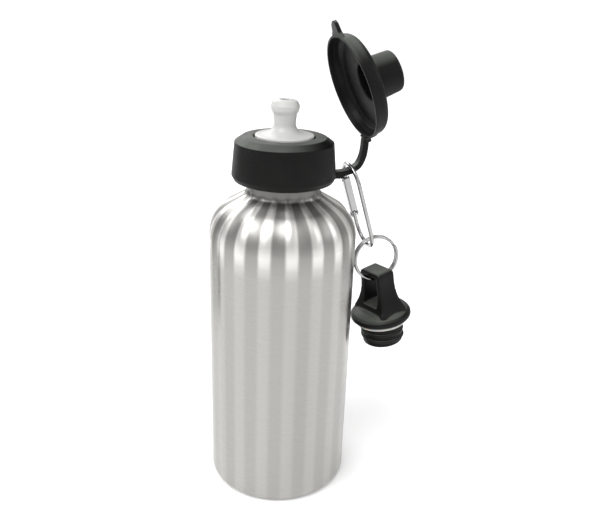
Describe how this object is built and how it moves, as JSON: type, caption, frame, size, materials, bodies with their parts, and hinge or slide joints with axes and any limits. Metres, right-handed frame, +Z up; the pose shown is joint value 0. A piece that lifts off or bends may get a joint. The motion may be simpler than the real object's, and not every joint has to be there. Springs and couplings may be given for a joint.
{
  "type": "canteen",
  "caption": "Fluted metal sports bottle with a push-pull drinking cap, tethered dust cover, and a spare loop-handled screw cap hung from a small carabiner and split ring.",
  "frame": {"origin": "centre of the bottle's base, on the surface it stands on", "axes": "+Z up along the bottle's axis, +X from that axis towards the tether, the dust cover and the spare cap"},
  "size_m": [0.1103, 0.073, 0.2371],
  "materials": {
    "brushed_metal": "satin brushed, with shallow vertical flutes",
    "black_plastic": "satin moulded",
    "black_strap": "satin flexible moulding",
    "white_plastic": "semi-gloss, slightly translucent",
    "clear_seal": "milky silicone",
    "plated_wire": "bright plated"
  },
  "bodies": {
    "bottle": {"bottle_shell": "brushed_metal", "mouth_ring": "brushed_metal"},
    "neck_gasket": {"neck_gasket": "clear_seal"},
    "sport_cap": {"cap_collar": "black_plastic", "valve_post": "black_plastic", "tether_ring": "black_strap"},
    "nozzle": {"drinking_nozzle": "white_plastic", "nozzle_seal_ring": "clear_seal"},
    "cover_strap": {"cover_strap": "black_strap"},
    "dust_cover": {"dust_cover": "black_plastic"},
    "carabiner": {"carabiner_frame": "plated_wire", "gate_rivet": "plated_wire"},
    "gate": {"carabiner_gate": "plated_wire", "gate_latch_pin": "plated_wire"},
    "split_ring": {"split_ring": "plated_wire"},
    "loop_cap": {"loop_cap_shell": "black_plastic", "loop_cap_gasket": "clear_seal"}
  },
  "joints": [
    {"name": "cap_lift", "type": "slide", "parent": "bottle", "child": "neck_gasket", "axis": [0, 0, 1], "range_m": [0, 0.014]},
    {"name": "cap_turn", "type": "hinge", "parent": "neck_gasket", "child": "sport_cap", "pos_m": [0, 0, 0], "axis": [0, 0, 1], "range_deg": [0, 1260]},
    {"name": "nozzle_pull", "type": "slide", "parent": "sport_cap", "child": "nozzle", "axis": [0, 0, 1], "range_m": [0, 0.006]},
    {"name": "strap_bend", "type": "hinge", "parent": "sport_cap", "child": "cover_strap", "pos_m": [0.042, 0, 0.16], "axis": [0, 1, 0], "range_deg": [-20, 5], "deforming": ["cover_strap"]},
    {"name": "cover_flip", "type": "hinge", "parent": "cover_strap", "child": "dust_cover", "pos_m": [0.03479, 0, 0.17539], "axis": [0, 1, 0], "range_deg": [-49.4, 20], "deforming": ["cover_strap"]},
    {"name": "carabiner_swing", "type": "hinge", "parent": "sport_cap", "child": "carabiner", "pos_m": [0.03586, 0, 0.16084], "axis": [0.9537, 0, 0.3007], "range_deg": [-50, 50]},
    {"name": "gate_open", "type": "hinge", "parent": "carabiner", "child": "gate", "pos_m": [0.04214, 0.0095, 0.14091], "axis": [0.9537, 0, 0.3007], "range_deg": [0, 28], "stiffness_Nm_per_rad": 0.01, "springref_deg": -17.19},
    {"name": "ring_swing", "type": "hinge", "parent": "carabiner", "child": "split_ring", "pos_m": [0.04677, 0, 0.12622], "axis": [0, -1, 0], "range_deg": [0, 60]},
    {"name": "loop_cap_swing", "type": "hinge", "parent": "split_ring", "child": "loop_cap", "pos_m": [0.05393, 0, 0.10663], "axis": [0.9863, 0, 0.165], "range_deg": [-35, 35]}
  ],
  "couplings": [
    {"joint": "cap_lift", "follows": "cap_turn", "m_per_rad": 0.00063662}
  ]
}
